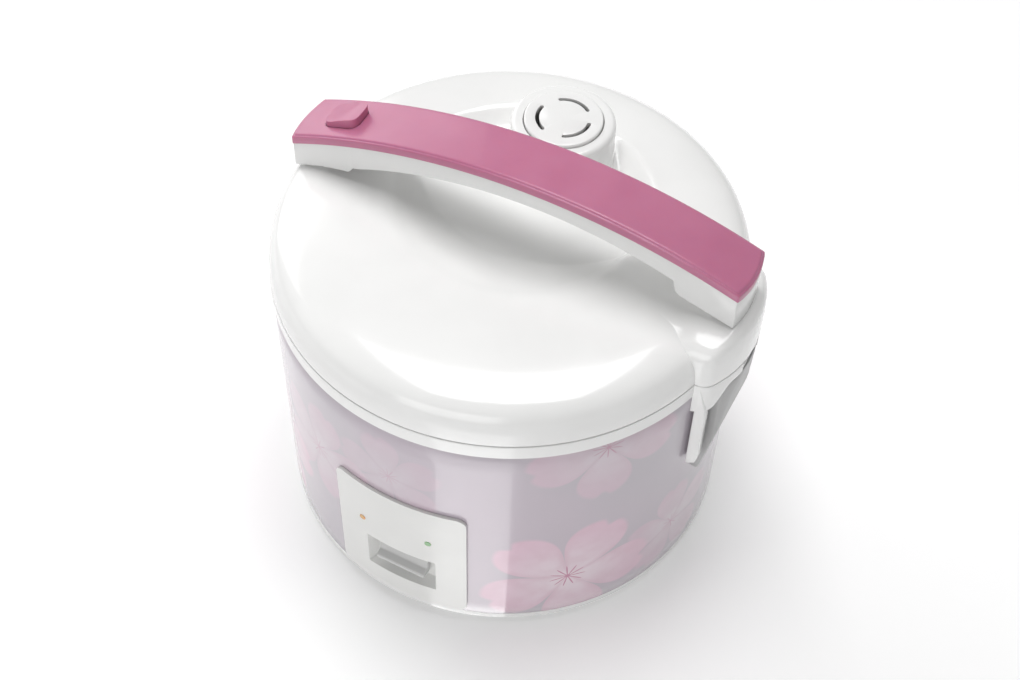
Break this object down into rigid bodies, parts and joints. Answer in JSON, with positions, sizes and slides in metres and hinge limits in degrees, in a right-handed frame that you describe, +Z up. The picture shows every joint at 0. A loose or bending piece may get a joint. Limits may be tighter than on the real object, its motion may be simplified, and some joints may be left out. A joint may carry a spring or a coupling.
{
  "type": "rice cooker",
  "caption": "Drum-shaped rice cooker with a printed metal skin, a side-hinged domed lid, an arched carrying handle, a steam vent and a cook lever in a front panel.",
  "frame": {"origin": "on the table under the axis of the round body, midway between the four feet", "axes": "+Z up, -Y out of the control panel, +X towards the lid hinge"},
  "size_m": [0.2795, 0.2704, 0.256],
  "materials": {
    "white_plastic": "gloss",
    "inner_plastic": "satin",
    "lever_plastic": "satin",
    "printed_skin": "gloss lacquer over a pale flower print",
    "pink_plastic": "gloss",
    "bare_steel": "plain",
    "heater_foil": "foil",
    "cast_aluminium": "turned",
    "lid_aluminium": "satin",
    "pot_coating": "non-stick coating",
    "heater_steel": "plain",
    "screw_steel": "plain",
    "spring_steel": "plain",
    "magnet": "plain",
    "black_plastic": "matte",
    "brass_pins": "plain",
    "amber_lens": "clear tint",
    "green_lens": "clear tint",
    "circuit_board": "matte",
    "silicone": "satin",
    "foot_rubber": "matte"
  },
  "bodies": {
    "body": {"base_tray": "white_plastic", "foot_front_left": "foot_rubber", "foot_front_right": "foot_rubber", "foot_rear_left": "foot_rubber", "foot_rear_right": "foot_rubber", "outer_shell": "printed_skin", "top_collar": "white_plastic", "inner_liner": "bare_steel", "base_posts": "bare_steel", "base_screws": "screw_steel", "heating_plate": "cast_aluminium", "heater_element": "heater_steel", "plate_posts": "bare_steel", "sensor_guide": "bare_steel", "sensor_spring": "spring_steel", "lever_bracket": "bare_steel", "lever_pin": "screw_steel", "micro_switch": "black_plastic", "warm_thermostat": "screw_steel", "thermal_fuse": "screw_steel", "side_heater": "heater_foil", "control_panel": "white_plastic", "cook_lens": "amber_lens", "warm_lens": "green_lens", "indicator_board": "circuit_board", "ac_inlet": "black_plastic", "inlet_pins": "brass_pins", "hinge_pin": "screw_steel", "hinge_spring": "spring_steel"},
    "lid": {"lid_outer": "white_plastic", "lid_frame": "inner_plastic", "inner_cover_plate": "lid_aluminium", "lid_gasket": "silicone", "plate_knob": "silicone", "vent_cup": "inner_plastic", "vent_gasket": "silicone", "handle_base": "white_plastic", "handle_cover": "pink_plastic", "button_spring": "spring_steel", "latch_pin": "screw_steel", "lid_screws": "screw_steel", "handle_screws": "screw_steel"},
    "steam_cap": {"vent_cap": "white_plastic"},
    "button": {"latch_button": "pink_plastic"},
    "hook": {"latch_hook": "inner_plastic"},
    "lever": {"cook_lever": "lever_plastic"},
    "magnet": {"magnet_rod": "magnet"},
    "sensor": {"sensor_cap": "cast_aluminium"},
    "pot": {"inner_pot": "pot_coating"}
  },
  "joints": [
    {"name": "lid_hinge", "type": "hinge", "parent": "body", "child": "lid", "pos_m": [0.1416, 0, 0.1754], "axis": [0, 1, 0], "range_deg": [0, 90]},
    {"name": "steam_cap_lift", "type": "slide", "parent": "lid", "child": "steam_cap", "axis": [0, 0, 1], "range_m": [0, 0.03]},
    {"name": "latch_button_press", "type": "slide", "parent": "lid", "child": "button", "axis": [0, 0, -1], "range_m": [0, 0.003], "stiffness_N_per_m": 900, "springref_m": -0.001, "deforming": ["button_spring"]},
    {"name": "latch_hook_swing", "type": "hinge", "parent": "lid", "child": "hook", "pos_m": [-0.119, 0, 0.19], "axis": [0, 1, 0], "range_deg": [0, 13.8]},
    {"name": "cook_lever_tilt", "type": "hinge", "parent": "body", "child": "lever", "pos_m": [0, -0.064, 0.014], "axis": [1, 0, 0], "range_deg": [0, 6]},
    {"name": "magnet_lift", "type": "slide", "parent": "body", "child": "magnet", "axis": [0, 0, 1], "range_m": [0, 0.0073]},
    {"name": "sensor_plunge", "type": "slide", "parent": "body", "child": "sensor", "axis": [0, 0, -1], "range_m": [0, 0.002], "stiffness_N_per_m": 600, "springref_m": -0.002, "deforming": ["sensor_spring"]},
    {"name": "pot_turn", "type": "hinge", "parent": "body", "child": "pot", "pos_m": [0, 0, 0.1], "axis": [0, 0, 1], "continuous": true}
  ],
  "couplings": [
    {"joint": "latch_hook_swing", "follows": "latch_button_press", "rad_per_m": 80},
    {"joint": "magnet_lift", "follows": "cook_lever_tilt", "m_per_rad": 0.068}
  ]
}
